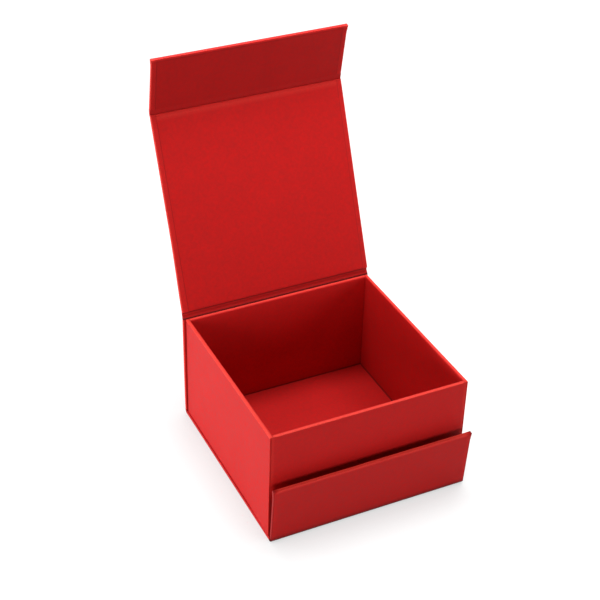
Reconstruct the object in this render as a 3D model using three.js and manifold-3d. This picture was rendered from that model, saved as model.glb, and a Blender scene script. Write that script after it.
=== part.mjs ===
// Gift box with a hinged case, an open tray and a hidden magnet closure.
// Millimetres, +Z up, +X to the right along the front wall, +Y to the back.
// The origin is on the table, under the centre of the tray.
//
// The case is a chain of wrapped boards: lower flap, base, spine, lid, lid flap. Paper hinges join them,
// and the whole chain is placed by the arcs that these hinges take when the box stands open.

import * as THREE from 'three';
import { mergeVertices } from 'three/addons/utils/BufferGeometryUtils.js';
import Module from 'manifold-3d';

const wasm = await Module();
wasm.setup();

// Driving sizes of the tray
const trayWidth = 150;
const trayDepth = 147;
const rimHeight = 88;            // tray rim above the table
const trayBoard = 2.0;           // greyboard of the tray

// Paper and glue
const paper = 0.25;              // cover and lining paper
const stayPaper = 0.2;           // gummed corner paper, and the glue layer beside it
const glueGap = 0.2;             // room for glue between the board and paper of a case panel

// Driving sizes of the case
const caseBoard = 1.6;           // greyboard of the case
const caseOverhang = 1.0;        // case beyond the tray at either side
const frontMargin = 2.7;         // base beyond the tray's front wall
const backMargin = 0.3;          // base beyond the tray's back wall
const turnInShown = 3.8;         // cover paper seen beside the lining, along the side edges
const turnInEnd = 1.8;           // the same along the free edge of a flap
const lidFlapLength = 42;
const lowerFlapLength = 46;

// Paper hinges: board-free length of each strip
const baseHingeStrip = 5.0;      // lower flap to base, and base to spine
const lidHingeStrip = 5.0;
const flapHingeStrip = 6.0;
const stripClearance = 0.15;     // strip to the next panel
const arcSteps = 12;             // facets along one bent strip

// How the box stands open
const spineAngle = 90.5;         // degrees up from the base: the spine leans on the tray
const lidOpening = 112.5;        // degrees from closed
const flapBend = 32.4;           // degrees in from the lid's plane
const lowerFlapAngle = 85.6;     // degrees up from the table

// Fit of the closed lid
const closedAngle = 180;         // degrees up from the base when the lid lies on the rim
const squareFold = 90;           // degrees of a lid flap that hangs straight down
const lidClearance = 0.2;        // closed lid above the rim
const flapClearance = 0.3;       // closed lid flap in front of the front wall

// Tray details
const seam = 0.1;                // between a side cover's return and the front cover
const turnUnder = 15;            // cover paper glued under the tray
const stayLeg = 16;              // width of a corner stay on each wall
const floorLiningInset = 0.5;

// Magnets in the lid flap and the keepers they meet
const magnetRadius = 5;
const magnetThickness = 1.0;
const keeperRadius = 6;
const keeperThickness = 0.8;
const magnetSpacingShare = 0.6;  // of the tray's width, between centres
const pocketClearance = 0.2;
const discSides = 48;

const overrun = 1;               // how far a cut runs past the surface it opens

// Sizes that follow
const panel = 2 * paper + 2 * glueGap + caseBoard;
const wall = 2 * paper + stayPaper + trayBoard;
const caseWidth = trayWidth + 2 * caseOverhang;
const trayBottom = panel;
const boardBottom = trayBottom + paper;
const boardTop = rimHeight - paper;
const floorTop = boardBottom + trayBoard;
const baseFront = -trayDepth / 2 - frontMargin;
const baseBack = trayDepth / 2 + backMargin;

// Materials
const redPaper = { color: 0xb51c1c, roughness: 0.85, metalness: 0 };
const liningPaper = { color: 0xa81818, roughness: 0.88, metalness: 0 };
const greyboard = { color: 0x8a8378, roughness: 0.95, metalness: 0 };
const gummedPaper = { color: 0xc8a878, roughness: 0.9, metalness: 0 };
const nickel = { color: 0xb9b9bd, roughness: 0.3, metalness: 1 };
const steel = { color: 0x8f9296, roughness: 0.4, metalness: 1 };

function mesh(name, geometry, look) {
  const piece = new THREE.Mesh(geometry, new THREE.MeshStandardMaterial(look));
  piece.name = name;
  return piece;
}

// Booleans on closed meshes
function toSolid(geometry) {
  const bare = geometry.clone();
  bare.deleteAttribute('normal');
  bare.deleteAttribute('uv');
  const merged = mergeVertices(bare);
  return new wasm.Manifold(new wasm.Mesh({
    numProp: 3,
    vertProperties: new Float32Array(merged.attributes.position.array),
    triVerts: new Uint32Array(merged.index.array),
  }));
}

function toGeometry(solid) {
  const result = solid.getMesh();
  const geometry = new THREE.BufferGeometry();
  geometry.setAttribute('position', new THREE.BufferAttribute(result.vertProperties, 3));
  geometry.setIndex(new THREE.BufferAttribute(result.triVerts, 1));
  geometry.computeVertexNormals();
  return geometry;
}

function join(first, ...others) {
  return toGeometry(others.reduce((sum, next) => sum.add(toSolid(next)), toSolid(first)));
}

function cut(first, ...tools) {
  return toGeometry(tools.reduce((rest, tool) => rest.subtract(toSolid(tool)), toSolid(first)));
}

// A block between two corners
function block(low, high) {
  const size = high.map((value, axis) => value - low[axis]);
  const middle = high.map((value, axis) => (value + low[axis]) / 2);
  return new THREE.BoxGeometry(...size).translate(...middle);
}

// A closed outline in the YZ plane, drawn out evenly to both sides along X
function acrossX(shape, width) {
  const geometry = new THREE.ExtrudeGeometry(shape, { depth: width, bevelEnabled: false, steps: 1 });
  const turn = new THREE.Matrix4().makeBasis(
    new THREE.Vector3(0, 1, 0), new THREE.Vector3(0, 0, 1), new THREE.Vector3(1, 0, 0));
  return geometry.translate(0, 0, -width / 2).applyMatrix4(turn);
}

// A closed outline in the XY plane, drawn up between two heights
function upZ(shape, low, high) {
  const geometry = new THREE.ExtrudeGeometry(shape, { depth: high - low, bevelEnabled: false, steps: 1 });
  return geometry.translate(0, 0, low);
}

// Paper folded along a line of points, its thickness to the left of the way the line runs
function foldedSheet(points, thickness) {
  const inner = points.map((point, i) => {
    const before = points[Math.max(i - 1, 0)];
    const after = points[Math.min(i + 1, points.length - 1)];
    const into = (i > 0 ? point.clone().sub(before) : after.clone().sub(point)).normalize();
    const away = (i < points.length - 1 ? after.clone().sub(point) : into.clone()).normalize();
    const normal = new THREE.Vector2(-into.y - away.y, into.x + away.x).normalize();
    const mitre = thickness / (-normal.x * into.y + normal.y * into.x);
    return point.clone().addScaledVector(normal, mitre);
  });
  return new THREE.Shape([...points, ...inner.reverse()]);
}

// Case panels. A panel lies along +Y from its hinge edge, with its outer face down on z = 0
// and its inner face up. A flap has one free end, where the cover turns round the board.
function panelBoard(length) {
  const inset = paper + glueGap;
  return block(
    [-caseWidth / 2 + inset, inset, inset],
    [caseWidth / 2 - inset, length - inset, panel - inset]);
}

function panelCover(length, freeEnd) {
  const boardEnd = freeEnd ? length - paper : length + overrun;
  const windowEnd = freeEnd ? length - turnInEnd : length + overrun;
  const body = block([-caseWidth / 2, 0, 0], [caseWidth / 2, length, panel]);
  const boardRoom = block(
    [-caseWidth / 2 + paper, -overrun, paper],
    [caseWidth / 2 - paper, boardEnd, panel - paper]);
  const liningWindow = block(
    [-caseWidth / 2 + turnInShown, -overrun, panel / 2],
    [caseWidth / 2 - turnInShown, windowEnd, panel + overrun]);
  return cut(body, boardRoom, liningWindow);
}

// The lining turns down over the board's edge at each hinge
function panelLining(length, freeEnd) {
  const point = (along, up) => new THREE.Vector2(along, up);
  const foot = paper + glueGap;
  const line = [point(0, foot), point(0, panel)];
  if (freeEnd) {
    line.push(point(length - turnInEnd - glueGap, panel));
  } else {
    line.push(point(length, panel), point(length, foot));
  }
  return acrossX(foldedSheet(line.reverse(), paper), caseWidth - 2 * (turnInShown + glueGap));
}

function panelMeshes(name, length, freeEnd) {
  return [
    mesh(`${name}_board`, panelBoard(length), greyboard),
    mesh(`${name}_cover`, panelCover(length, freeEnd), redPaper),
    mesh(`${name}_lining`, panelLining(length, freeEnd), liningPaper),
  ];
}

// Paper hinges. A strip of cover and lining leaves one panel's outer face along +Y and bends evenly
// through an angle, towards the inner side where the angle is positive.
function stripPoint(length, bend, share) {
  const angle = THREE.MathUtils.degToRad(bend);
  const radius = length / angle;
  return new THREE.Vector2(radius * Math.sin(angle * share), radius * (1 - Math.cos(angle * share)));
}

function hingeStrip(length, bend) {
  const firstShare = stripClearance / length;
  const points = [];
  for (let i = 0; i <= arcSteps; i += 1) {
    points.push(stripPoint(length, bend, firstShare + (1 - 2 * firstShare) * (i / arcSteps)));
  }
  return acrossX(foldedSheet(points, 2 * paper), caseWidth);
}

// The next panel's group, placed at the far end of a bent strip
function afterStrip(length, bend) {
  const end = stripPoint(length, bend, 1);
  const group = new THREE.Group();
  group.position.set(0, end.x, end.y);
  group.rotation.x = THREE.MathUtils.degToRad(bend);
  return group;
}

// A group at the far edge of a panel
function farEdge(length) {
  const group = new THREE.Group();
  group.position.set(0, length, 0);
  return group;
}

// Panel lengths that make the lid close on the rim and the lid flap hang in front of the front wall
const spineStart = stripPoint(baseHingeStrip, spineAngle, 1);
const spineTurn = THREE.MathUtils.degToRad(spineAngle);
const spineUp = new THREE.Vector2(1, 0).rotateAround(new THREE.Vector2(), spineTurn);
const lidTurn = stripPoint(lidHingeStrip, closedAngle - spineAngle, 1)
  .rotateAround(new THREE.Vector2(), spineTurn);
const closedLidTop = rimHeight + lidClearance + panel;
const spineLength = (closedLidTop - lidTurn.y - spineStart.y) / spineUp.y;
const closedLidBack = baseBack + spineStart.x + spineLength * spineUp.x + lidTurn.x;
const flapTurn = stripPoint(flapHingeStrip, squareFold, 1);
const closedFlapFront = -trayDepth / 2 - flapClearance - panel;
const lidLength = closedLidBack - closedFlapFront - flapTurn.x;

// Magnet centres, apart from each other and down the lid flap, and the height where they meet the front wall
const magnetSpacing = trayWidth * magnetSpacingShare;
const magnetAlong = lidFlapLength / 2;
const keeperHeight = closedLidTop - flapTurn.y - magnetAlong;

function disc(radius, thickness) {
  return new THREE.CylinderGeometry(radius, radius, thickness, discSides).rotateX(Math.PI / 2);
}

// Tray walls. A wall stands along X with its outer face on y = 0 and its inner face towards +Y.
function wallBoard(length) {
  const outer = paper + stayPaper;
  return block([-length / 2, outer, boardBottom], [length / 2, outer + trayBoard, boardTop]);
}

// Cover paper over the rim and down the outer face
function outerCover(length) {
  const point = (inward, up) => new THREE.Vector2(inward, up);
  const line = [point(wall, rimHeight), point(0, rimHeight), point(0, trayBottom)];
  return acrossX(foldedSheet(line, paper), length);
}

// The same paper turned down inside, to the floor
function innerCover(length) {
  return block([-length / 2, wall - paper, floorTop], [length / 2, wall, rimHeight]);
}

// The same paper turned in under the tray, mitred to its neighbours. The length is the tray's.
function underCover(length) {
  const wide = length / 2 - wall - seam;
  const narrow = length / 2 - turnUnder - seam;
  const outline = new THREE.Shape([
    new THREE.Vector2(-wide, 0),
    new THREE.Vector2(wide, 0),
    new THREE.Vector2(wide, wall),
    new THREE.Vector2(narrow, turnUnder),
    new THREE.Vector2(-narrow, turnUnder),
    new THREE.Vector2(-wide, wall),
  ]);
  return upZ(outline, trayBottom, boardBottom);
}

// A side wall's cover runs the full depth and turns round both ends of the wall
function sideCover() {
  const end = (low) => block([low, 0, trayBottom], [low + paper, wall, rimHeight]);
  return join(
    outerCover(trayDepth),
    innerCover(trayDepth - 2 * wall),
    underCover(trayDepth),
    block([-trayDepth / 2, 0, trayBottom], [trayDepth / 2, wall, boardBottom]),
    end(-trayDepth / 2),
    end(trayDepth / 2 - paper));
}

// The front and back covers lie between the side walls' covers
function endCover() {
  const between = trayWidth - 2 * wall;
  return join(
    outerCover(between - 2 * seam),
    innerCover(between),
    underCover(trayWidth));
}

const tray = new THREE.Group();

const wallPlaces = [
  { name: 'front', side: false, x: 0, y: -trayDepth / 2, turn: 0 },
  { name: 'right', side: true, x: trayWidth / 2, y: 0, turn: Math.PI / 2 },
  { name: 'back', side: false, x: 0, y: trayDepth / 2, turn: Math.PI },
  { name: 'left', side: true, x: -trayWidth / 2, y: 0, turn: -Math.PI / 2 },
];

for (const place of wallPlaces) {
  const group = new THREE.Group();
  group.position.set(place.x, place.y, 0);
  group.rotation.z = place.turn;
  const sideLength = trayDepth - 2 * (paper + stayPaper);
  const endLength = trayWidth - 2 * (paper + stayPaper + trayBoard);
  let board = wallBoard(place.side ? sideLength : endLength);
  if (place.name === 'front') {
    for (const side of [-1, 1]) {
      const depth = keeperThickness + pocketClearance;
      const pocket = disc(keeperRadius + pocketClearance, depth + overrun).rotateX(Math.PI / 2)
        .translate(side * magnetSpacing / 2, paper + stayPaper + (depth - overrun) / 2, keeperHeight);
      board = cut(board, pocket);
      const keeper = disc(keeperRadius, keeperThickness).rotateX(Math.PI / 2)
        .translate(side * magnetSpacing / 2, paper + stayPaper + keeperThickness / 2, keeperHeight);
      group.add(mesh(side < 0 ? 'keeper_left' : 'keeper_right', keeper, steel));
    }
  }
  group.add(mesh(`tray_${place.name}_board`, board, greyboard));
  group.add(mesh(`tray_${place.name}_cover`, place.side ? sideCover() : endCover(), redPaper));
  tray.add(group);
}

const floorHalfX = trayWidth / 2 - paper - stayPaper - trayBoard;
const floorHalfY = trayDepth / 2 - paper - stayPaper - trayBoard;
tray.add(mesh('tray_floor_board', block(
  [-floorHalfX, -floorHalfY, boardBottom], [floorHalfX, floorHalfY, floorTop]), greyboard));

const liningHalfX = trayWidth / 2 - wall - floorLiningInset;
const liningHalfY = trayDepth / 2 - wall - floorLiningInset;
tray.add(mesh('tray_floor_lining', block(
  [-liningHalfX, -liningHalfY, floorTop], [liningHalfX, liningHalfY, floorTop + paper]), liningPaper));

// Corner stays lie between the boards and the cover, round each upright corner
function cornerStay() {
  const outer = paper;
  const inner = paper + stayPaper;
  const outline = new THREE.Shape([
    new THREE.Vector2(outer, outer),
    new THREE.Vector2(stayLeg, outer),
    new THREE.Vector2(stayLeg, inner),
    new THREE.Vector2(inner, inner),
    new THREE.Vector2(inner, stayLeg),
    new THREE.Vector2(outer, stayLeg),
  ]);
  return upZ(outline, boardBottom, boardTop);
}

const stayPlaces = [
  { name: 'front_left', x: -1, y: -1, turn: 0 },
  { name: 'front_right', x: 1, y: -1, turn: Math.PI / 2 },
  { name: 'back_right', x: 1, y: 1, turn: Math.PI },
  { name: 'back_left', x: -1, y: 1, turn: -Math.PI / 2 },
];

for (const place of stayPlaces) {
  const stay = mesh(`corner_stay_${place.name}`, cornerStay(), gummedPaper);
  stay.position.set(place.x * trayWidth / 2, place.y * trayDepth / 2, 0);
  stay.rotation.z = place.turn;
  tray.add(stay);
}

// The case. Each group hangs on the one before, so a hinge's bend carries all that follows it.
const base = new THREE.Group();
base.position.set(0, baseFront, 0);
base.add(...panelMeshes('base', baseBack - baseFront, false));

const baseBackEdge = farEdge(baseBack - baseFront);
baseBackEdge.add(mesh('spine_hinge', hingeStrip(baseHingeStrip, spineAngle), redPaper));
base.add(baseBackEdge);

const spine = afterStrip(baseHingeStrip, spineAngle);
spine.add(...panelMeshes('spine', spineLength, false));
baseBackEdge.add(spine);

const lidBend = closedAngle - spineAngle - lidOpening;
const spineTopEdge = farEdge(spineLength);
spineTopEdge.add(mesh('lid_hinge', hingeStrip(lidHingeStrip, lidBend), redPaper));
spine.add(spineTopEdge);

const lid = afterStrip(lidHingeStrip, lidBend);
lid.add(...panelMeshes('lid', lidLength, false));
spineTopEdge.add(lid);

const lidFrontEdge = farEdge(lidLength);
lidFrontEdge.add(mesh('lid_flap_hinge', hingeStrip(flapHingeStrip, flapBend), redPaper));
lid.add(lidFrontEdge);

const lidFlap = afterStrip(flapHingeStrip, flapBend);
const [flapBoard, flapCover, flapLining] = panelMeshes('lid_flap', lidFlapLength, true);
const magnetFace = panel - paper - glueGap;
for (const side of [-1, 1]) {
  const depth = magnetThickness + pocketClearance;
  const pocket = disc(magnetRadius + pocketClearance, depth + overrun)
    .translate(side * magnetSpacing / 2, magnetAlong, magnetFace + (overrun - depth) / 2);
  flapBoard.geometry = cut(flapBoard.geometry, pocket);
  const magnet = disc(magnetRadius, magnetThickness)
    .translate(side * magnetSpacing / 2, magnetAlong, magnetFace - magnetThickness / 2);
  lidFlap.add(mesh(side < 0 ? 'magnet_left' : 'magnet_right', magnet, nickel));
}
lidFlap.add(flapBoard, flapCover, flapLining);
lidFrontEdge.add(lidFlap);

// The lower flap's chain runs forwards, so it starts with a half turn
const baseFrontEdge = new THREE.Group();
baseFrontEdge.rotation.z = Math.PI;
baseFrontEdge.add(mesh('lower_flap_hinge', hingeStrip(baseHingeStrip, lowerFlapAngle), redPaper));
base.add(baseFrontEdge);

const lowerFlap = afterStrip(baseHingeStrip, lowerFlapAngle);
lowerFlap.add(...panelMeshes('lower_flap', lowerFlapLength, true));
baseFrontEdge.add(lowerFlap);

const giftBox = new THREE.Group();
giftBox.add(tray, base);

export default giftBox;
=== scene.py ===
# Gift box of wrapped greyboard, stood open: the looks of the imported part.
# Sizes in the dictionaries are millimetres, the meshes are metres.
import math

import bmesh
import bpy
from mathutils import Matrix, Vector


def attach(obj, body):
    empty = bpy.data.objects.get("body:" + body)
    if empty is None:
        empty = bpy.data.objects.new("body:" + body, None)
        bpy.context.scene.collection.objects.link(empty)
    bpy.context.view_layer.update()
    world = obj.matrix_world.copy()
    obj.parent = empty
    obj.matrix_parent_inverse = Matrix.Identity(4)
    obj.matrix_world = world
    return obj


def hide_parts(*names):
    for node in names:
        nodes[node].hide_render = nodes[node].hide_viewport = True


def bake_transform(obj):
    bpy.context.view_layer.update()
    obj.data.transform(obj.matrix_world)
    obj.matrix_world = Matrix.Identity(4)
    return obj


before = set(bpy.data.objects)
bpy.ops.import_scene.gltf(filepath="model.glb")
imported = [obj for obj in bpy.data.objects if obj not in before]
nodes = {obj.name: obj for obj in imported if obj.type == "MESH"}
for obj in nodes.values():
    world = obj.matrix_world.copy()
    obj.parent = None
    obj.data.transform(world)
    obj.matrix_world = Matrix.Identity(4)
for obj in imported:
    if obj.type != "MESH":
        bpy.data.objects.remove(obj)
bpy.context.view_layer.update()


def mm(*values):
    return Vector([value * 0.001 for value in values])


# Camera, at the photograph's angle
shot = {
    "azimuth": -23.808,                     # degrees, to the left of the front
    "elevation": 32.788,
    "distance": 1040.9,                     # from the point looked at
    "lookAt": (-22.78, 93.07, 111.89),
    "lens": 83.62,
    "shift": (0.09945, -0.06094),
}
azimuth, elevation = math.radians(shot["azimuth"]), math.radians(shot["elevation"])
back = Vector((
    math.sin(azimuth) * math.cos(elevation),
    -math.cos(azimuth) * math.cos(elevation),
    math.sin(elevation)))
bpy.ops.object.camera_add(
    location=mm(*shot["lookAt"]) + back * shot["distance"] * 0.001,
    rotation=(math.pi / 2 - elevation, 0, azimuth))
camera = bpy.context.object
camera.name = "camera"
camera.data.lens = shot["lens"]
camera.data.sensor_width = 36
camera.data.shift_x, camera.data.shift_y = shot["shift"]
camera.data.clip_start, camera.data.clip_end = 0.02, 30
bpy.context.scene.camera = camera
print("camera set")


# Colours and material nodes
def hexColour(text):
    channels = [int(text[i:i + 2], 16) / 255 for i in (1, 3, 5)]
    linear = [c / 12.92 if c <= 0.04045 else ((c + 0.055) / 1.055) ** 2.4 for c in channels]
    return (*linear, 1)


def addNode(tree, kind, values=None, links=None, **settings):
    node = tree.nodes.new("ShaderNode" + kind)
    for key, value in settings.items():
        setattr(node, key, value)
    for socket, value in (values or {}).items():
        node.inputs[socket].default_value = value
    for socket, source in (links or {}).items():
        tree.links.new(source, node.inputs[socket])
    return node


def newMaterial(name):
    material = bpy.data.materials.new(name)
    material.use_nodes = True
    tree = material.node_tree
    shader = tree.nodes["Principled BSDF"]
    place = addNode(tree, "TexCoord").outputs["Object"]
    return material, tree, shader, place


def perMetre(size):
    return 1000 / size      # noise scale for a pattern of this size in mm


def feltPaper(name, look):
    material, tree, shader, place = newMaterial(name)
    # felt marks: soft clouds a few mm across
    felt = addNode(tree, "TexNoise", {
        "Scale": perMetre(look["feltSize"]), "Detail": 4, "Roughness": 0.62, "Distortion": 0.4,
    }, {"Vector": place})
    cloud = addNode(tree, "TexNoise", {
        "Scale": perMetre(look["cloudSize"]), "Detail": 2, "Roughness": 0.5}, {"Vector": place})
    fibre = addNode(tree, "TexNoise", {
        "Scale": perMetre(look["fibreSize"]), "Detail": 3, "Roughness": 0.7}, {"Vector": place})
    feltTone = addNode(tree, "ValToRGB", links={"Fac": felt.outputs["Fac"]})
    feltTone.color_ramp.elements[0].position = 0.32
    feltTone.color_ramp.elements[0].color = hexColour(look["dark"])
    feltTone.color_ramp.elements[1].position = 0.68
    feltTone.color_ramp.elements[1].color = hexColour(look["light"])
    cloudTone = addNode(tree, "MapRange", {
        "From Min": 0.3, "From Max": 0.7, "To Min": 1 - look["cloudTone"], "To Max": 1 + look["cloudTone"],
    }, {"Value": cloud.outputs["Fac"]})
    clouded = addNode(tree, "VectorMath", links={
        0: feltTone.outputs["Color"], "Scale": cloudTone.outputs["Result"]}, operation="SCALE")
    # folds and cut edges rubbed paler and painted highlight; painted shade in seams, gaps, creases and
    # hollows
    fold = addNode(tree, "Attribute", attribute_name="wearAndPaintedLight")
    paling = addNode(tree, "MapRange", {
        "From Min": 0.35, "From Max": 0.65, "To Min": 0.3, "To Max": 1}, {"Value": fibre.outputs["Fac"]})
    wearAndLighting = addNode(tree, "Math", links={0: fold.outputs["Fac"], 1: paling.outputs["Result"]},
                   operation="MULTIPLY")
    paleShare = addNode(tree, "Math", {1: look["wearAndLighting"]}, {0: wearAndLighting.outputs[0]}, operation="MULTIPLY")
    paintedShade = addNode(tree, "MapRange", {
        "From Min": 0, "From Max": -1, "To Min": 1, "To Max": look["paintedShadeTone"],
    }, {"Value": fold.outputs["Fac"]})
    shaded = addNode(tree, "VectorMath", links={
        0: clouded.outputs["Vector"], "Scale": paintedShade.outputs["Result"]}, operation="SCALE")
    colour = addNode(tree, "Mix", {"B": hexColour(look["wornAndLit"])}, {
        "Factor": paleShare.outputs[0], "A": shaded.outputs["Vector"]}, data_type="RGBA")
    rough = addNode(tree, "MapRange", {
        "From Min": 0.3, "From Max": 0.7, "To Min": look["rough"][0], "To Max": look["rough"][1],
    }, {"Value": felt.outputs["Fac"]})
    feltBump = addNode(tree, "Bump", {"Strength": look["feltBump"], "Distance": 0.00012},
                       {"Height": felt.outputs["Fac"]})
    bump = addNode(tree, "Bump", {"Strength": look["fibreBump"], "Distance": 0.00005},
                   {"Height": fibre.outputs["Fac"], "Normal": feltBump.outputs["Normal"]})
    tree.links.new(colour.outputs["Result"], shader.inputs["Base Color"])
    tree.links.new(rough.outputs["Result"], shader.inputs["Roughness"])
    tree.links.new(bump.outputs["Normal"], shader.inputs["Normal"])
    shader.inputs["Specular IOR Level"].default_value = look["specular"]
    shader.inputs["Sheen Weight"].default_value = look["sheen"]
    shader.inputs["Sheen Roughness"].default_value = 0.45
    shader.inputs["Sheen Tint"].default_value = hexColour(look["sheenTint"])
    return material


# Dyed felt-marked cover paper: matt, faintly cloudy, with a trace of bloom where it is seen edge on
coverPaper = feltPaper("dyed felt-marked paper", {
    "dark": "#b00b0a", "light": "#c20e0c", "wornAndLit": "#fb4a3c", "wearAndLighting": 0.9, "paintedShadeTone": 0.15,
    "feltSize": 2.3, "cloudSize": 14, "fibreSize": 0.35, "cloudTone": 0.02,
    "rough": (0.62, 0.78), "feltBump": 0.5, "fibreBump": 0.3,
    "specular": 0.22, "sheen": 0.01, "sheenTint": "#ffe6e2",
})
# Dyed lining paper: the same stock, a little flatter because it is rubbed down onto the board
liningPaper = feltPaper("dyed lining paper", {
    "dark": "#ae0a09", "light": "#c00d0b", "wornAndLit": "#d8382e", "wearAndLighting": 0.6, "paintedShadeTone": 0.2,
    "feltSize": 2.6, "cloudSize": 18, "fibreSize": 0.4, "cloudTone": 0.025,
    "rough": (0.66, 0.8), "feltBump": 0.45, "fibreBump": 0.25,
    "specular": 0.2, "sheen": 0.01, "sheenTint": "#ffe6e2",
})


def greyboardStock():
    # Unlined greyboard, pulped from waste paper: dull grey-brown with dark and pale flecks
    look = {"dark": "#6f695f", "light": "#9a9284", "fleck": "#4b463f", "fleckSize": 0.9, "pulpSize": 4}
    material, tree, shader, place = newMaterial("pulped greyboard")
    pulp = addNode(tree, "TexNoise", {"Scale": perMetre(look["pulpSize"]), "Detail": 5}, {"Vector": place})
    fleck = addNode(tree, "TexVoronoi", {"Scale": perMetre(look["fleckSize"])}, {"Vector": place})
    tone = addNode(tree, "Mix", {"A": hexColour(look["dark"]), "B": hexColour(look["light"])},
                   {"Factor": pulp.outputs["Fac"]}, data_type="RGBA")
    spot = addNode(tree, "MapRange", {"From Min": 0.08, "From Max": 0.16, "To Min": 0.8, "To Max": 0},
                   {"Value": fleck.outputs["Distance"]})
    colour = addNode(tree, "Mix", {"B": hexColour(look["fleck"])}, {
        "Factor": spot.outputs["Result"], "A": tone.outputs["Result"]}, data_type="RGBA")
    bump = addNode(tree, "Bump", {"Strength": 0.5, "Distance": 0.0001}, {"Height": pulp.outputs["Fac"]})
    tree.links.new(colour.outputs["Result"], shader.inputs["Base Color"])
    tree.links.new(bump.outputs["Normal"], shader.inputs["Normal"])
    shader.inputs["Roughness"].default_value = 0.92
    return material


def gummedKraft():
    # Gummed kraft paper: brown, with long fibres and a slight gloss of dried gum
    look = {"dark": "#a57a4a", "light": "#c89d69", "fibreSize": 0.5, "drawnOut": 9}
    material, tree, shader, place = newMaterial("gummed kraft paper")
    drawn = addNode(tree, "Mapping", {"Scale": (1, 1, 1 / look["drawnOut"])}, {"Vector": place})
    fibre = addNode(tree, "TexNoise", {"Scale": perMetre(look["fibreSize"]), "Detail": 4},
                    {"Vector": drawn.outputs["Vector"]})
    colour = addNode(tree, "Mix", {"A": hexColour(look["dark"]), "B": hexColour(look["light"])},
                     {"Factor": fibre.outputs["Fac"]}, data_type="RGBA")
    gum = addNode(tree, "MapRange", {"To Min": 0.45, "To Max": 0.75}, {"Value": fibre.outputs["Fac"]})
    tree.links.new(colour.outputs["Result"], shader.inputs["Base Color"])
    tree.links.new(gum.outputs["Result"], shader.inputs["Roughness"])
    return material


def discMetal(name, dark, light, rough, scratchSize):
    material, tree, shader, place = newMaterial(name)
    drawn = addNode(tree, "Mapping", {"Scale": (0.08, 1, 1)}, {"Vector": place})
    scratch = addNode(tree, "TexNoise", {"Scale": perMetre(scratchSize), "Detail": 4},
                      {"Vector": drawn.outputs["Vector"]})
    colour = addNode(tree, "Mix", {"A": hexColour(dark), "B": hexColour(light)},
                     {"Factor": scratch.outputs["Fac"]}, data_type="RGBA")
    gloss = addNode(tree, "MapRange", {"To Min": rough - 0.08, "To Max": rough + 0.1},
                    {"Value": scratch.outputs["Fac"]})
    tree.links.new(colour.outputs["Result"], shader.inputs["Base Color"])
    tree.links.new(gloss.outputs["Result"], shader.inputs["Roughness"])
    shader.inputs["Metallic"].default_value = 1
    return material


greyboard = greyboardStock()
kraft = gummedKraft()
# Nickel-plated magnet: bright, warm grey, tumbled, so its scratches are short and soft
nickel = discMetal("tumbled nickel plate", "#b4b0a8", "#d0ccc4", 0.28, 0.3)
# Cold-rolled steel keeper: cooler and duller, with the fine lines of the rolls
steel = discMetal("cold-rolled steel", "#9a9da1", "#b9bcc0", 0.4, 0.15)
print("materials made")


# Small hand tools for modelling
foldAngles = (12, 60)       # degrees between two faces that make a round fold
smoothAngle = 32


def clearSelection():
    if bpy.context.object and bpy.context.object.mode != "OBJECT":
        bpy.ops.object.mode_set(mode="OBJECT")
    bpy.ops.object.select_all(action="DESELECT")


def addBlock(name, low, high):
    clearSelection()
    bpy.ops.mesh.primitive_cube_add(size=1, location=(mm(*low) + mm(*high)) / 2)
    piece = bpy.context.object
    piece.scale = mm(*high) - mm(*low)
    bpy.ops.object.transform_apply(location=True, rotation=True, scale=True)
    piece.name = piece.data.name = name
    return piece


def addSheet(name, low, high, height):
    clearSelection()
    bpy.ops.mesh.primitive_plane_add(size=1, location=(mm(*low, height) + mm(*high, height)) / 2)
    piece = bpy.context.object
    piece.scale = (*(mm(*high) - mm(*low)), 1)
    bpy.ops.object.transform_apply(location=True, rotation=True, scale=True)
    piece.name = piece.data.name = name
    return piece


def startEdit(piece):
    clearSelection()
    bpy.context.view_layer.objects.active = piece
    piece.select_set(True)
    bpy.ops.object.mode_set(mode="EDIT")


def pick(kind, test):
    # selects the faces, edges or vertices of the edited piece that pass the test, by their place in mm
    bpy.ops.mesh.select_mode(type=kind)
    bpy.ops.mesh.select_all(action="DESELECT")
    data = bpy.context.edit_object.data
    shape = bmesh.from_edit_mesh(data)
    parts = {"FACE": shape.faces, "EDGE": shape.edges, "VERT": shape.verts}[kind]
    for part in parts:
        if kind == "FACE":
            chosen = test(part.calc_center_median() * 1000, part.normal)
        elif kind == "EDGE":
            chosen = test(part.verts[0].co * 1000, part.verts[1].co * 1000)
        else:
            chosen = test(part.co * 1000)
        part.select_set(bool(chosen))
    shape.select_flush_mode()
    bmesh.update_edit_mesh(data)


def near(first, second, slack=0.01):
    return abs(first - second) < slack


def slices(axis, places):
    normal = Vector([1 if i == axis else 0 for i in range(3)])
    for place in places:
        bpy.ops.mesh.select_mode(type="VERT")
        bpy.ops.mesh.select_all(action="SELECT")
        bpy.ops.mesh.bisect(plane_co=normal * place * 0.001, plane_no=normal)


def between(first, last, count):
    return [first + (last - first) * i / (count + 1) for i in range(1, count + 1)]


def acrossWidth(half, margin, count):
    # places near both sides, and evenly between them
    return [margin - half, half - margin, *between(-half, half, count)]


def roundFolds(test, radius, segments=3):
    pick("EDGE", test)
    bpy.ops.mesh.bevel(offset=radius * 0.001, segments=segments, profile=0.5, affect="EDGES")


def extrudeBy(*move):
    bpy.ops.mesh.extrude_region_move(TRANSFORM_OT_translate={"value": mm(*move)})


def leaveEdit(piece):
    bpy.ops.mesh.select_all(action="SELECT")
    bpy.ops.mesh.remove_doubles(threshold=0.000001)
    bpy.ops.object.mode_set(mode="OBJECT")


def thicken(piece, thickness):
    # paper thickness, grown inwards from the modelled face
    solid = piece.modifiers.new("paper", "SOLIDIFY")
    solid.thickness = thickness * 0.001
    solid.offset = -1
    solid.use_even_offset = True
    solid.use_rim = True
    bpy.context.view_layer.objects.active = piece
    bpy.ops.object.modifier_apply(modifier="paper")


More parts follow.
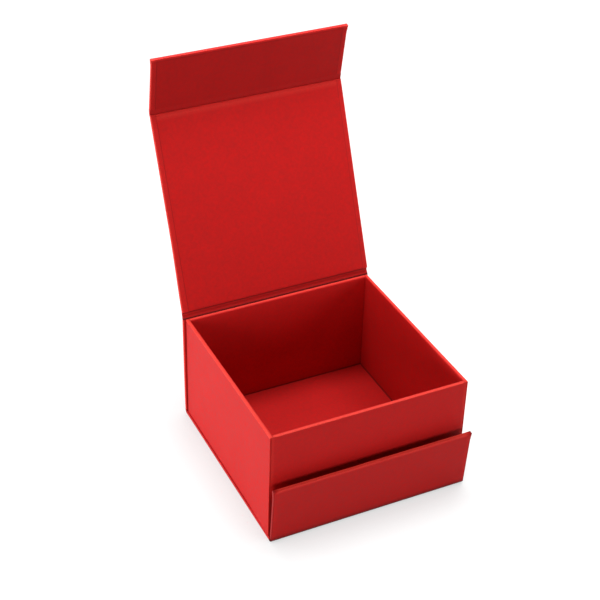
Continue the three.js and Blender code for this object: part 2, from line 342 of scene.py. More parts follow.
def setPlace(piece, place):
    clearSelection()
    piece.select_set(True)
    bpy.context.view_layer.objects.active = piece
    piece.matrix_world = place
    bpy.ops.object.transform_apply(location=True, rotation=True, scale=True)


def moveVertices(piece, shift):
    # sculpts the piece: shift takes a point in mm and gives its move in mm
    for vertex in piece.data.vertices:
        point = vertex.co * 1000
        vertex.co = vertex.co + mm(*shift(point))
    piece.data.update()


def markFolds(piece, rubbedAndLit, dusky=None):
    # writes the attribute the paper's colour reads: rubbed paler and painted highlight above 0, painted
    # shade below 0;
    # the first function gives it for the folds, and dusky gives it the other way up for any point, from a
    # place in mm
    shape = bmesh.new()
    shape.from_mesh(piece.data)
    wornAndLit = [0.0] * len(shape.verts)
    for edge in shape.edges:
        if foldAngles[0] < math.degrees(edge.calc_face_angle(0)) < foldAngles[1]:
            for vertex in edge.verts:
                wornAndLit[vertex.index] = rubbedAndLit(vertex.co * 1000)
    if dusky:
        for vertex in shape.verts:
            wornAndLit[vertex.index] = -dusky(vertex.co * 1000) or wornAndLit[vertex.index]
    shape.free()
    attribute = piece.data.attributes.new("wearAndPaintedLight", "FLOAT", "POINT")
    attribute.data.foreach_set("value", wornAndLit)


def nearness(distance, reach):
    return max(0, 1 - abs(distance) / reach)


def ease(value):
    value = min(max(value, 0), 1)
    return value * value * (3 - 2 * value)


def dress(piece, material):
    piece.data.materials.clear()
    piece.data.materials.append(material)
    clearSelection()
    piece.select_set(True)
    bpy.context.view_layer.objects.active = piece
    bpy.ops.object.shade_smooth_by_angle(angle=math.radians(smoothAngle))


# The case: five wrapped boards in a chain of paper hinges
case = {
    "width": 152,
    "thick": 2.5,
    "paper": 0.25,
    "turnIn": 3.7,          # cover seen beside the lining, along the sides
    "turnInEnd": 1.8,       # and along a flap's free edge
    "underLining": 0.6,     # more of it lies under the lining
    "fold": 0.45,           # radius of the paper round a board's edge
    "liningProud": 0.12,    # the lining lies on the turned-in cover
    "liningGap": 0.12,
    "cornerLump": 0.5,      # the cover's folded corners are a little thicker
    "lumpInside": 0.5,      # share of it that shows on the inner face
    "lumpOutside": 0.3,     # and on the outer one
    "cornerReach": 7,
    "shoulder": 0.5,        # radius of the lining where it dips into a hinge
    "foot": 0.5,            # height where that lining meets the hinge strip
    "spineTop": 2.1,        # and where it meets the lid's hinge strip
    "creaseDip": 0.14,      # the lid's lining sinks a little towards its crease with the flap
    "creaseReach": 5,
    "creaseShare": 2 / 16,  # how far across its hinge that crease lies
    "flare": 0.9,           # the folded left ends stand out most at the lid's hinge
    "flareWidth": 4,
    "flareRise": 0.6,       # power by which it grows up the spine
    "flareReach": 55,       # and how far it runs up the lid
    "stripGap": 0.005,
    "stripFold": 0.2,       # radius of a hinge strip's side edges
    "stripSteps": 16,
    "innerSide": 0.8,       # height over the flap's hinge strip above which a point is on its inner side
    "innerSlope": (0.3, 0.2),       # and over the lid's: at its start, and how much lower each mm on
    # where the panels are cut for bending and shading
    "foldMargin": 0.3,
    "liningMargin": 0.6,
    "liningStep": 2,
    "stripMargin": 1,
    "endSteps": (3, 6),
    "stepsAcross": 9,
    "stepAlong": 14,
    # painted shade, painted highlight and wear, 1 is full
    "foldBand": 1,          # mm from an edge that count as its fold
    "edgeSlack": 0.05,      # and as the edge itself
    "innerRubAndHighlight": 1.6,        # a free end's inner edge is rubbed paler and carries more painted highlight than its outer one
    "outerRubAndHighlight": 0.8,
    "dipShade": 1,          # shade on the linings where they dip into a hinge
    "dipBelow": 0.2,
    "edgeShade": 0.6,       # and along their edges
    "creaseShade": 0.6,     # shade in the crease
    "creaseWidth": 0.55,
    "creaseHighlight": 0.9,       # beside it is a painted highlight
    "highlightAt": 1.8,           # mm before the crease, where the painted highlight on the lid's lining is brightest
    "highlightReach": 3.2,
    "stripHighlightWidth": 0.5,
    "flapShade": (0.2, 0.16),    # painted shade on the flaps: the lid's, the lower one
    "toneFade": 0.6,
    "footShade": 0.6,       # shade low on the lower flap, where it meets the table
    "contactShade": 2.2,    # and on its hinge strip
    "contactReach": 4,
    "hingeShade": (1.6, 1.3),       # shade on the lid's hinge strip: behind the rim, and below the lining
    "hingeReach": (1.8, 1.2),
    "stripWearAndHighlight": 0.5,       # rubbing and painted highlight on the hinge strips' side edges
    # rubbing and painted highlight on each panel's side folds and free end; below 0 it is painted shade
    "wearAndLighting": {
        "base": (0, 0),
        "spine": (0.6, 0),
        "lid": (0.7, 0),
        "lidFlap": (0.5, 0.1),
        "lowerFlap": (-0.45, 0.8),
    },
}
halfCase = case["width"] / 2
liningSide = halfCase - case["turnIn"] - case["liningGap"]
liningTop = case["thick"] + case["liningProud"]


def stepsAlong(length, end):
    # evenly along the panel, and closer where it sinks to its crease
    creaseStart = length - case["creaseReach"]
    even = between(0, end, max(2, round(length / case["stepAlong"])))
    return [creaseStart, (creaseStart + length) / 2, *even]


def wrapCover(name, length, freeEnd):
    turnIn = case["turnIn"] + case["underLining"]
    windowEnd = length - case["turnInEnd"] - case["underLining"] if freeEnd else length + 1
    piece = addBlock(name, (-halfCase, 0, 0), (halfCase, length, case["thick"]))
    startEdit(piece)
    slices(0, (turnIn - halfCase, halfCase - turnIn))
    if freeEnd:
        slices(1, [windowEnd])
    # the window for the lining, and the ends that run on into a hinge
    pick("FACE", lambda middle, normal: (
        normal.z > 0.5 and abs(middle.x) < halfCase - turnIn and middle.y < windowEnd))
    bpy.ops.mesh.delete(type="FACE")
    pick("FACE", lambda middle, normal: (
        abs(normal.y) > 0.5 and not (freeEnd and middle.y > 1) and abs(middle.x) < halfCase - turnIn))
    bpy.ops.mesh.delete(type="FACE")

    def outerEdge(a, b):
        side = near(abs(a.x), halfCase) and near(abs(b.x), halfCase)
        end = freeEnd and near(a.y, length) and near(b.y, length)
        level = near(a.z, b.z)
        sameSide = a.x * b.x > 0
        return (side and level and sameSide) or (end and level) or (side and end)

    roundFolds(outerEdge, case["fold"])
    slices(0, acrossWidth(halfCase, case["fold"] + case["foldMargin"], case["stepsAcross"]))
    nearEnds = [place for step in case["endSteps"] for place in (step, length - step)]
    slices(1, nearEnds + stepsAlong(length, length))
    leaveEdit(piece)
    if freeEnd:
        moveVertices(piece, lambda point: cornerLump(point, length))
    return piece


def cornerLump(point, length):
    # the cover is folded over itself at a flap's free corners, which stand a little proud
    away = math.hypot(halfCase - abs(point.x), length - point.y)
    lump = case["cornerLump"] * (1 - ease(away / case["cornerReach"]))
    inside = point.z > case["thick"] / 2
    return (
        lump if point.x > 0 else -lump,
        0,
        lump * case["lumpInside"] if inside else -lump * case["lumpOutside"])


def liningEnd(length, freeEnd):
    return length - case["turnInEnd"] - case["liningGap"] if freeEnd else length


def liningSheet(name, length, freeEnd, levels):
    # levels gives the height at which the lining ends at each hinge
    end = liningEnd(length, freeEnd)
    piece = addSheet(name, (-liningSide, 0), (liningSide, end), liningTop)
    startEdit(piece)
    for hingeEnd, level in zip((0, end), levels):
        if near(level, liningTop):
            continue

        def topEdge(a, b):
            return near(a.y, hingeEnd) and near(b.y, hingeEnd) and min(a.z, b.z) > liningTop - 0.01

        pick("EDGE", topEdge)
        extrudeBy(0, 0, level - liningTop)
        roundFolds(topEdge, min(case["shoulder"], (liningTop - level) / 2))
    slices(0, acrossWidth(liningSide, case["liningMargin"], case["stepsAcross"]))
    nearEnds = [case["liningStep"], end - case["liningStep"], end - case["liningMargin"]]
    slices(1, nearEnds + stepsAlong(length, end))
    bpy.ops.mesh.select_all(action="SELECT")
    bpy.ops.mesh.normals_make_consistent(inside=False)
    leaveEdit(piece)
    if sum(face.normal.z * face.area for face in piece.data.polygons) < 0:
        piece.data.flip_normals()
    return piece


def creaseSink(point, length):
    sunk = case["creaseDip"] * ease((point.y - length + case["creaseReach"]) / case["creaseReach"])
    return -sunk if point.z > case["thick"] / 2 else 0


def flare(point, share):
    # moves the folded left end of a panel outwards, by a share of the most
    width = case["flareWidth"]
    return (-case["flare"] * share * ease((width - halfCase - point.x) / width), 0, 0)


# rubbed paler and painted highlight on a panel's folds; values below 0 are painted shade
def wearAndPaintedLight(point, length, sideWearAndLight, endWearAndLight):
    band = case["foldBand"]
    if point.y > length - band and abs(point.x) < halfCase - band:
        return endWearAndLight * (case["innerRubAndHighlight"] if point.z > case["thick"] / 2 else case["outerRubAndHighlight"])
    return sideWearAndLight * (abs(point.x) > halfCase - band)


# painted shade at the lower flap's foot and over a flap
def coverShade(point, length, tone, footShade):
    band = case["foldBand"]
    if near(point.y, 0, case["edgeSlack"]):
        return footShade
    return tone * (band < point.y < length - band and abs(point.x) < halfCase - band)


# painted shade where the lining dips into a hinge, along its edges and over a flap, less a painted
# highlight before the lid's crease
def liningShade(point, length, freeEnd, tone):
    if not freeEnd and point.z < case["thick"] - case["dipBelow"]:
        return case["dipShade"]
    atSide = abs(point.x) > liningSide - case["edgeSlack"]
    if atSide or freeEnd and point.y > liningEnd(length, True) - case["edgeSlack"]:
        return case["edgeShade"]
    paling = 0 if freeEnd else case["creaseHighlight"] * nearness(point.y - length + case["highlightAt"], case["highlightReach"])
    return tone - paling


def finishPanel(name, node, body, place, length, levels, tone=0, footShade=0, shift=None):
    freeEnd = len(levels) == 1
    cover = wrapCover(name + "Cover", length, freeEnd)
    thicken(cover, case["paper"])
    lining = liningSheet(name + "Lining", length, freeEnd, levels)
    thicken(lining, case["paper"])
    if shift:
        moveVertices(cover, shift)
        moveVertices(lining, shift)
    markFolds(cover, lambda point: wearAndPaintedLight(point, length, *case["wearAndLighting"][name]),
              lambda point: coverShade(point, length, tone, footShade))
    markFolds(lining, lambda point: 0, lambda point: liningShade(point, length, freeEnd, tone))
    for piece, material, slotName, part in (
            (cover, coverPaper, "red_paper", "cover"), (lining, liningPaper, "lining_paper", "lining")):
        setPlace(piece, place)
        dress(piece, material)
        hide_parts(f"{node}_{part}")
        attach(piece, body)


def stripPiece(name, length, bend, profile):
    # cover and lining glued together, spun round the hinge's arc from the end of one panel to the next;
    # profile gives the height of the inner side at shares of the way across
    turn = math.radians(bend)
    radius = length / turn
    side = 1 if radius > 0 else -1
    depth = max(height for share, height in profile)
    gap = case["stripGap"] / radius
    piece = addSheet(name, (-halfCase, 0), (halfCase, depth), 0)
    piece.rotation_euler = (math.pi / 2, 0, 0)
    bpy.ops.object.transform_apply(location=False, rotation=True, scale=False)
    setPlace(piece, Matrix.Translation(mm(0, 0, radius)) @ Matrix.Rotation(gap, 4, "X")
             @ Matrix.Translation(mm(0, 0, -radius)))
    startEdit(piece)
    bpy.ops.mesh.select_all(action="SELECT")
    bpy.ops.mesh.spin(
        steps=case["stripSteps"], angle=turn - 2 * gap, center=mm(0, 0, radius), axis=(-1, 0, 0))
    bpy.ops.mesh.select_all(action="SELECT")
    bpy.ops.mesh.normals_make_consistent(inside=False)

    def where(point):
        # share of the way round the arc, and height above its outer side
        share = math.atan2(point.y, side * (radius - point.z)) / abs(turn)
        return share, side * (abs(radius) - math.hypot(point.y, radius - point.z))

    roundFolds(lambda a, b: (
        near(abs(a.x), halfCase) and near(a.x, b.x)
        and near(where(a)[1], where(b)[1], 0.02)), case["stripFold"], 2)
    slices(0, acrossWidth(halfCase, case["stripMargin"], case["stepsAcross"]))
    leaveEdit(piece)

    def shaped(point):
        share, height = where(point)
        for (first, low), (last, high) in zip(profile, profile[1:]):
            if first <= share <= last or last == profile[-1][0]:
                top = low + (high - low) * min(max((share - first) / (last - first), 0), 1)
                break
        toCentre = (Vector((0, 0, radius)) - Vector((0, point.y, point.z))).normalized() * side
        return toCentre * height * (top / depth - 1)

    moveVertices(piece, shaped)
    return piece


def afterStrip(place, length, bend):
    turn = math.radians(bend)
    radius = length / turn
    end = mm(0, radius * math.sin(turn), radius * (1 - math.cos(turn)))
    return place @ Matrix.Translation(end) @ Matrix.Rotation(turn, 4, "X")


def finishStrip(name, node, place, length, bend, profile, dusky, shift=None):
    strip = stripPiece(name, length, bend, profile)
    if shift:
        moveVertices(strip, shift)
    sideEdge = halfCase - case["foldBand"] / 2
    markFolds(strip, lambda point: case["stripWearAndHighlight"] if abs(point.x) > sideEdge else 0, dusky)
    setPlace(strip, place)
    dress(strip, coverPaper)
    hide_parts(node)
    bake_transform(strip)


chain = {
    "baseFront": -76.2,
    "base": 150.0,
    "spine": 84.337,
    "lid": 145.509,
    "lidFlap": 42.0,
    "lowerFlap": 46.0,
    "baseStrip": 5.0,
    "lidStrip": 5.0,
    "flapStrip": 6.0,
    "spineBend": 90.5,      # degrees, as the box stands open
    "lidBend": -23.0,
    "flapBend": 32.4,
    "lowerBend": 85.6,
    "lidGroove": ((0.2, 1.9), (0.6, 0.5)),      # shares of the way across the lid's strip, and heights
    "creaseSteps": 11,
}


def runBack(share):
    # height, over the lid flap's hinge, of the flap's inner face run back straight
    turn = math.radians(chain["flapBend"])
    radius = chain["flapStrip"] / turn
    return radius - (radius - liningTop) / math.cos(turn * (1 - share))


def lidHingeShade(point):
    # painted shade where the strip goes down behind the rim, and in the groove below the lid's lining
    behindRim = case["hingeShade"][0] * nearness(point.y, case["hingeReach"][0])
    inGroove = case["hingeShade"][1] * nearness(point.y - chain["lidStrip"], case["hingeReach"][1])
    start, fall = case["innerSlope"]
    return (point.z > start - point.y * fall) * (behindRim + inGroove)


def flapHingeShade(point):
    # painted highlight up to the crease, painted shade in it, and then the flap's painted shade
    past = point.y - case["creaseShare"] * chain["flapStrip"]
    shade = case["creaseShade"] * nearness(past, case["creaseWidth"])
    paling = case["creaseHighlight"] / 2 * nearness(point.y, case["stripHighlightWidth"])
    tone = case["flapShade"][0] * ease(past / case["toneFade"])
    return (point.z > case["innerSide"]) * (shade - paling + tone)


def lowerHingeShade(point):
    return case["contactShade"] * nearness(point.z, case["contactReach"])


def spineShift(point):
    return flare(point, max(point.y / chain["spine"], 0) ** case["flareRise"])


def lidShift(point):
    outward = flare(point, 1 - ease(point.y / case["flareReach"]))[0]
    return (outward, 0, creaseSink(point, chain["lid"]))


# heights of each hinge's inner side, at shares of the way from its first panel to the next
foot = case["foot"]
plainStrip = ((0, foot), (1, foot))
lidStrip = ((0, case["spineTop"]), *chain["lidGroove"], (1, foot))
creaseShares = [
    case["creaseShare"] + (1 - case["creaseShare"]) * i / chain["creaseSteps"]
    for i in range(chain["creaseSteps"] + 1)]
flapStrip = ((0, liningTop - case["creaseDip"]), *((share, runBack(share)) for share in creaseShares))

basePlace = Matrix.Translation(mm(0, chain["baseFront"], 0))
finishPanel("base", "base", "box", basePlace, chain["base"], (foot, foot))
hingePlace = basePlace @ Matrix.Translation(mm(0, chain["base"], 0))
finishStrip("spineHinge", "spine_hinge", hingePlace, chain["baseStrip"],
            chain["spineBend"], plainStrip, None)
spinePlace = afterStrip(hingePlace, chain["baseStrip"], chain["spineBend"])
finishPanel("spine", "spine", "spine", spinePlace, chain["spine"], (foot, case["spineTop"]),
            shift=spineShift)
hingePlace = spinePlace @ Matrix.Translation(mm(0, chain["spine"], 0))
finishStrip("lidHinge", "lid_hinge", hingePlace, chain["lidStrip"],
            chain["lidBend"], lidStrip, lidHingeShade, shift=lambda point: flare(point, 1))
lidPlace = afterStrip(hingePlace, chain["lidStrip"], chain["lidBend"])
finishPanel("lid", "lid", "lid", lidPlace, chain["lid"], (foot, liningTop), shift=lidShift)
hingePlace = lidPlace @ Matrix.Translation(mm(0, chain["lid"], 0))
finishStrip("lidFlapHinge", "lid_flap_hinge", hingePlace, chain["flapStrip"],
            chain["flapBend"], flapStrip, flapHingeShade)
lidFlapPlace = afterStrip(hingePlace, chain["flapStrip"], chain["flapBend"])
finishPanel("lidFlap", "lid_flap", "lid_flap", lidFlapPlace, chain["lidFlap"], (liningTop,),
            case["flapShade"][0])
hingePlace = basePlace @ Matrix.Rotation(math.pi, 4, "Z")
finishStrip("lowerFlapHinge", "lower_flap_hinge", hingePlace, chain["baseStrip"],
            chain["lowerBend"], plainStrip, lowerHingeShade)
lowerFlapPlace = afterStrip(hingePlace, chain["baseStrip"], chain["lowerBend"])
finishPanel("lowerFlap", "lower_flap", "lower_flap", lowerFlapPlace, chain["lowerFlap"], (foot,),
            case["flapShade"][1], case["footShade"])
print("case made")


# The tray: four walls wrapped over the rim, and the floor's lining
tray = {
    "width": 150,
    "depth": 147,
    "rim": 88,
    "bottom": 2.5,
    "floor": 4.75,
    "wall": 2.7,
    "paper": 0.25,
    "rimFold": 0.3,         # radius of the paper over the rim, outside
    "rimFall": 0.8,         # and inside, where it is drawn down
    "cornerFold": 0.4,      # and round the upright corners
    "intoCorner": 0.2,      # the front and back walls run a little into the side walls
    "frontProud": 0.15,     # their covers lie over the side covers' returns
    "returnShown": 1.2,     # of which this much is left to see
    "seamDepth": 0.18,      # the seam beside it
    "seamWidth": 0.5,
    "seamFlat": 0.4,        # share of its width that is at full depth
    "seamFoot": 3,          # mm above the table, where it starts
    "turnUnder": 14,        # cover glued under the tray
    "turnFloor": 5,         # and turned in under the floor lining
    "mitre": 3,
    "floorGap": 0.4,
    "coverLift": 0.01,      # the turned-in cover over the floor board
    "liningLift": 0.03,     # and the lining over that cover
    "cornerFlare": 0.25,    # the left side's cover stands off a little at the front corner
    "flareBelow": 0.5,      # and a little more low down
    "flareReach": 45,
    "flareWidth": 2,
    "faceSlack": 0.3,       # points this near a face belong to it
    "edgeSlack": 0.1,       # and this near an edge, to the edge
    # where the walls are cut for bending and shading
    "endSteps": (0.8, 2.8),
    "stepsAcross": 11,
    "stepsUp": 8,
    "footStep": 1.1,
    "floorStep": 1.5,
    "rimStep": 0.6,
    "rimMiddle": 1.7,
    "returnRange": (0.3, 2.4),
    "stepsOver": 8,
    # painted shade, painted highlight and wear, 1 is full
    "rimRubAndHighlight": (1, 0.4),     # the rim is rubbed paler and painted brightest along its outer edge
    "rimRubAndHighlightFade": (1.2, 1.5),       # mm in from the outer face where it starts to fade, and over how many
    "rimSlack": 0.05,
    "rubAndHighlightDeep": 0.6,         # mm in from the outer face and down from the rim that are rubbed and painted bright
    "rubAndHighlightDown": 1.2,
    "foldRubAndHighlight": 0.5,         # rubbing and painted highlight on the other outer folds
    "gapShade": 0.7,        # shade in the gaps behind the lower flap and beside the spine
    "gapTop": 46,           # mm above the table, where the first ends
    "gapFade": 14,
    "backGap": 0.45,
    "edgeRubAndHighlight": 0.3,         # rubbing and painted highlight on the front and back covers' side edges, above gapTop
    "edgeReach": 2.2,
    "angleShade": 0.8,      # shade where the walls meet each other and the floor
    "seamShade": 0.35,
}
footLevel = tray["floor"] + tray["paper"] + tray["coverLift"]


def turnInBelow(half, outward, roundEnds):
    # under the tray, mitred at its ends
    pick("EDGE", lambda a, b: (
        max(a.z, b.z) < tray["bottom"] + 0.01 and near(a.y, -outward) and near(b.y, -outward)))
    extrudeBy(0, tray["turnUnder"] + outward, 0)
    pick("VERT", lambda point: point.y > tray["turnUnder"] - 0.01)
    mitred = tray["turnUnder"] - (0 if roundEnds else tray["wall"])
    bpy.ops.transform.resize(value=(1 - mitred / half, 1, 1))
    # and inside, onto the tray's floor
    pick("EDGE", lambda a, b: (
        near(a.z, footLevel) and near(b.z, footLevel) and min(a.y, b.y) > tray["wall"] - 0.01))
    extrudeBy(0, tray["turnFloor"], 0)
    pick("VERT", lambda point: (
        near(point.y, tray["wall"] + tray["turnFloor"]) and point.z > footLevel - 0.01))
    bpy.ops.transform.resize(value=(1 - (tray["turnFloor"] + tray["mitre"]) / half, 1, 1))


def runOverReturns(half):
    # the ends stand against the side walls, and the outer sheet runs on over the side covers' returns
    pick("FACE", lambda middle, normal: abs(normal.x) > 0.5)
    bpy.ops.mesh.delete(type="FACE")
    pick("EDGE", lambda a, b: (
        near(abs(a.x), half) and near(a.x, b.x) and abs(a.z - b.z) > 1 and max(a.y, b.y) < 0.01))
    extrudeBy(0, 0, 0)
    wide = tray["width"] / 2 - tray["returnShown"]
    bpy.ops.transform.resize(value=(wide / half, 1, 1), center_override=(0, 0, 0))
    pick("VERT", lambda point: (
        abs(point.x) > wide - tray["edgeSlack"] and point.z > tray["rim"] - tray["edgeSlack"]))
    bpy.ops.transform.translate(value=mm(0, 0, -tray["rimFold"]))


def wallShell(name, half, outward, roundEnds):
    # a wall along X, its outer face on y = -outward, wrapped over the rim and open below
    rim = tray["rim"]
    piece = addBlock(name, (-half, -outward, tray["bottom"]), (half, tray["wall"], rim))
    startEdit(piece)
    slices(2, [footLevel])
    pick("FACE", lambda middle, normal: (
        normal.z < -0.5 or (normal.y > 0.5 and middle.z < tray["floor"])))
    bpy.ops.mesh.delete(type="FACE")
    turnInBelow(half, outward, roundEnds)
    if not roundEnds:
        runOverReturns(half)
    roundFolds(lambda a, b: (
        min(a.z, b.z) > rim - 0.01 and near(a.y, b.y) and a.y < 0.1
        and abs(a.x - b.x) > half), tray["rimFold"], 3)
    roundFolds(lambda a, b: min(a.z, b.z) > rim - 0.01 and near(a.y, b.y) and a.y > 1, tray["rimFall"], 4)
    if roundEnds:
        roundFolds(lambda a, b: (
            near(abs(a.x), half) and near(a.x, b.x) and abs(a.z - b.z) > 1
            and max(a.y, b.y) < 0.01), tray["cornerFold"])
    slices(0, [place for step in tray["endSteps"] for place in (step - half, half - step)])
    slices(0, between(-half, half, tray["stepsAcross"]))
    slices(2, [tray["bottom"] + tray["footStep"], footLevel + tray["floorStep"], rim - tray["rimStep"]])
    slices(2, between(tray["bottom"], rim, tray["stepsUp"]))
    slices(1, [tray["rimMiddle"]])
    if roundEnds:
        slices(1, between(*tray["returnRange"], tray["stepsOver"]))
    leaveEdit(piece)
    return piece


# rubbed paler and painted highlight along the rim's outer edge and the other outer folds
def wallWearAndHighlight(point):
    if point.y > tray["rubAndHighlightDeep"]:
        return 0
    return 1 if point.z > tray["rim"] - tray["rubAndHighlightDown"] else tray["foldRubAndHighlight"]


# painted shade in the inner angles, the gaps and the seams; below 0, rubbing and painted highlight on the
# rim and the covers' side edges
def wallShade(point, across, backEnd):
    slack = tray["faceSlack"]
    fromEnd = (tray["width"] / 2 - tray["wall"] if across else tray["depth"] / 2) - abs(point.x)
    if point.z > tray["rim"] - tray["rimSlack"]:
        outer, inner = tray["rimRubAndHighlight"]
        start, fade = tray["rimRubAndHighlightFade"]
        return (outer - inner) * ease((point.y - start) / fade) - outer
    inside = point.y > tray["wall"] - slack
    if inside and (point.z < tray["floor"] + 1 or across and fromEnd < tray["intoCorner"]):
        return tray["angleShade"]
    if across:
        low = ease((tray["gapTop"] - point.z) / tray["gapFade"])
        fromEdge = abs(point.x) - tray["width"] / 2 + tray["returnShown"]
        beside = nearness(fromEdge, tray["edgeReach"]) * (point.y < slack)
        return beside * (tray["gapShade"] * low - tray["edgeRubAndHighlight"] * (1 - low))
    if backEnd * point.x > tray["depth"] / 2 - tray["backGap"] and point.y < 0.5:
        return tray["gapShade"]
    onReturn = fromEnd < slack and tray["seamFoot"] < point.z < tray["rim"] - 1 and point.y > slack
    return onReturn * tray["seamShade"] * nearness(point.y - tray["returnShown"], tray["seamWidth"])


def seam(point):
    # the returns fall away beside the front and back covers
    slack = tray["faceSlack"]
    beside = abs(point.x) - tray["width"] / 2 + tray["returnShown"]
    onEnd = abs(point.y) >= tray["depth"] / 2 - slack and point.z >= tray["seamFoot"]
    if not onEnd or beside < slack + tray["returnShown"] - tray["wall"]:
        return (0, 0, 0)
    sunk = tray["seamDepth"] * (1 - ease(beside / tray["seamWidth"] - tray["seamFlat"]))
    return (0, -sunk if point.y > 0 else sunk, 0)


def cornerFlare(point):
    nearFront = 1 - ease((point.y + tray["depth"] / 2) / tray["flareReach"])
    outer = ease((tray["wall"] - tray["width"] / 2 - point.x) / tray["flareWidth"])
    low = 1 - ease(point.z / tray["rim"])
    return (-(tray["cornerFlare"] + tray["flareBelow"] * low) * nearFront * outer, 0, 0)


wallPlaces = {
    "front": (0, -tray["depth"] / 2, 0),
    "right": (tray["width"] / 2, 0, 90),
    "back": (0, tray["depth"] / 2, 180),
    "left": (-tray["width"] / 2, 0, -90),
}
for side, (x, y, turn) in wallPlaces.items():
    across = side in ("front", "back")
    half = tray["width"] / 2 - tray["wall"] + tray["intoCorner"] if across else tray["depth"] / 2
    wall = wallShell(side + "Wall", half, tray["frontProud"] if across else 0, not across)
    thicken(wall, tray["paper"])
    backEnd = 1 if side == "right" else -1
    markFolds(wall, wallWearAndHighlight, lambda point: wallShade(point, across, backEnd))
    setPlace(wall, Matrix.Translation(mm(x, y, 0)) @ Matrix.Rotation(math.radians(turn), 4, "Z"))
    if not across:
        moveVertices(wall, seam)
    moveVertices(wall, cornerFlare)
    dress(wall, coverPaper)
    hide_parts(f"tray_{side}_cover")
    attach(wall, "box")

halfX = tray["width"] / 2 - tray["wall"] - tray["floorGap"]
halfY = tray["depth"] / 2 - tray["wall"] - tray["floorGap"]
floorTop = tray["floor"] + 2 * tray["paper"] + tray["liningLift"]
floorLining = addSheet("floorLining", (-halfX, -halfY), (halfX, halfY), floorTop)
startEdit(floorLining)
slices(0, acrossWidth(halfX, tray["endSteps"][0], tray["stepsAcross"]))
slices(1, acrossWidth(halfY, tray["endSteps"][0], tray["stepsAcross"]))
leaveEdit(floorLining)
thicken(floorLining, tray["paper"])
markFolds(floorLining, lambda point: 0, lambda point: tray["angleShade"] * (
    abs(point.x) > halfX - tray["edgeSlack"] or abs(point.y) > halfY - tray["edgeSlack"]))
dress(floorLining, liningPaper)
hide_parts("tray_floor_lining")
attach(floorLining, "box")
print("tray made")


# What lies inside the paper keeps its CAD shape
def hiddenFinish(name):
    for start, finish in (("corner_stay", kraft), ("magnet", nickel), ("keeper", steel)):
        if name.startswith(start):
            return finish
    return {"board": greyboard, "lining": liningPaper}.get(name.split("_")[-1], coverPaper)


for name, piece in nodes.items():
    piece.data.materials.clear()
    piece.data.materials.append(hiddenFinish(name))
print("hidden parts finished")


# Studio: a white floor, low soft lamps in front and on the left, one higher there, and two above
studio = {
    "floorSize": 12,        # metres
    "paper": ("#e0e0e0", "#e4e4e4"),
    "paperClouds": 3,       # to a metre
    "paperRough": 0.6,
    "shadePaper": "#898989",    # what the lamps add to the white floor, as the camera sees it
    "shadowReach": 55,
    "shadowRange": (0.1, 0.98),     # from hemmed in to open
    "shadowDeep": 0.52,
    "floorGlow": 0.92,
    "farGlow": 0.25,        # more of it far off, where the lamps' light falls away
    "farRange": (0.25, 1.2),        # metres
    "worldLight": 0.03,
    "roomGlow": 1,
    "aim": (0, 0, 60),
    "lamps": {              # degrees round from the front, degrees up, mm away, mm across, watts
        "frontLeft": (-32, 10, 1500, 450, 5.4),
        "frontRight": (28, 10, 1500, 450, 5.4),
        "left": (-90, 0.4, 1500, 120, 3.9),
        "leftBack": (-125, 0.4, 1500, 120, 15.3),
        "leftHigh": (-90, 30, 1500, 600, 4.4),
        "overBack": (180, 73.3, 522, 250, 2.05),
        "overRight": (101, 65.8, 647, 300, 1.85),
    },
}


def seenDirectly(tree):
    # 1 where the camera looks straight at a surface, by way of a mirror or through glass
    rays = addNode(tree, "LightPath").outputs
    bounced = addNode(tree, "Math", links={0: rays["Is Glossy Ray"], 1: rays["Is Transmission Ray"]},
                      operation="MAXIMUM")
    seen = addNode(tree, "Math", links={0: rays["Is Camera Ray"], 1: bounced.outputs[0]},
                   operation="MAXIMUM")
    return seen.outputs[0]


clearSelection()
bpy.ops.mesh.primitive_plane_add(size=studio["floorSize"], location=(0, 0, 0))
floor = bpy.context.object
floor.name = "floor"
floorFinish, tree, shader, place = newMaterial("matt white studio paper")
tint = addNode(tree, "TexNoise", {"Scale": studio["paperClouds"], "Detail": 2}, {"Vector": place})
tone = addNode(tree, "Mix", {"A": hexColour(studio["paper"][0]), "B": hexColour(studio["paper"][1])},
               {"Factor": tint.outputs["Fac"]}, data_type="RGBA")
seen = seenDirectly(tree)
seenTone = addNode(tree, "Mix", {"B": hexColour(studio["shadePaper"])}, {
    "Factor": seen, "A": tone.outputs["Result"]}, data_type="RGBA")
tree.links.new(seenTone.outputs["Result"], shader.inputs["Base Color"])
shader.inputs["Roughness"].default_value = studio["paperRough"]
shader.inputs["Specular IOR Level"].default_value = 0.1
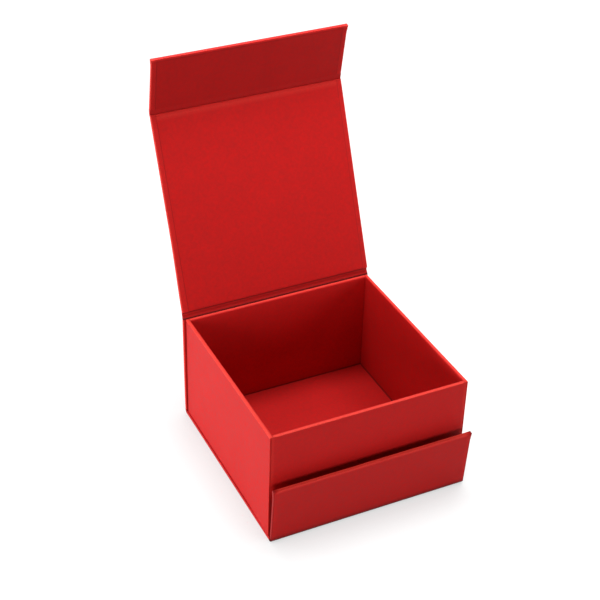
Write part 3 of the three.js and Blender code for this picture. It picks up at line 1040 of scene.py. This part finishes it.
# the camera and reflections see the paper as white, with the box's shadow close round its foot: the lamps'
# shadow plus a painted shadow from ambient occlusion
corner = addNode(tree, "AmbientOcclusion", {"Distance": studio["shadowReach"] * 0.001}, samples=24)
hemmedIn, inTheOpen = studio["shadowRange"]
shade = addNode(tree, "MapRange", {
    "From Min": hemmedIn, "From Max": inTheOpen,
    "To Min": studio["shadowDeep"], "To Max": studio["floorGlow"],
}, {"Value": corner.outputs["AO"]})
away = addNode(tree, "VectorMath", links={0: place}, operation="LENGTH")
farStart, farEnd = studio["farRange"]
far = addNode(tree, "MapRange", {"From Min": farStart, "From Max": farEnd, "To Max": studio["farGlow"]},
              {"Value": away.outputs["Value"]})
whole = addNode(tree, "Math", links={0: shade.outputs["Result"], 1: far.outputs["Result"]}, operation="ADD")
glow = addNode(tree, "Math", links={0: seen, 1: whole.outputs[0]}, operation="MULTIPLY")
tree.links.new(glow.outputs[0], shader.inputs["Emission Strength"])
shader.inputs["Emission Color"].default_value = (1, 1, 1, 1)
floor.data.materials.append(floorFinish)

for name, (around, up, away, size, power) in studio["lamps"].items():
    outward = Vector((0, -1, 0))
    outward.rotate(Matrix.Rotation(math.radians(-up), 3, "X"))
    outward.rotate(Matrix.Rotation(math.radians(around), 3, "Z"))
    bpy.ops.object.light_add(
        type="AREA", location=mm(*studio["aim"]) + outward * away * 0.001,
        rotation=(-outward).to_track_quat("-Z", "Y").to_euler())
    lamp = bpy.context.object
    lamp.name = name + "Lamp"
    lamp.data.shape = "DISK"
    lamp.data.size = size * 0.001
    lamp.data.energy = power
    lamp.visible_camera = False

world = bpy.data.worlds.new("studio")
bpy.context.scene.world = world
world.use_nodes = True
tree = world.node_tree
room = tree.nodes["Background"]
room.inputs["Color"].default_value = (1, 1, 1, 1)
level = addNode(tree, "MapRange", {"To Min": studio["worldLight"], "To Max": studio["roomGlow"]},
                {"Value": seenDirectly(tree)})
tree.links.new(level.outputs["Result"], room.inputs["Strength"])
bpy.context.scene.view_settings.view_transform = "Standard"
print("studio set")
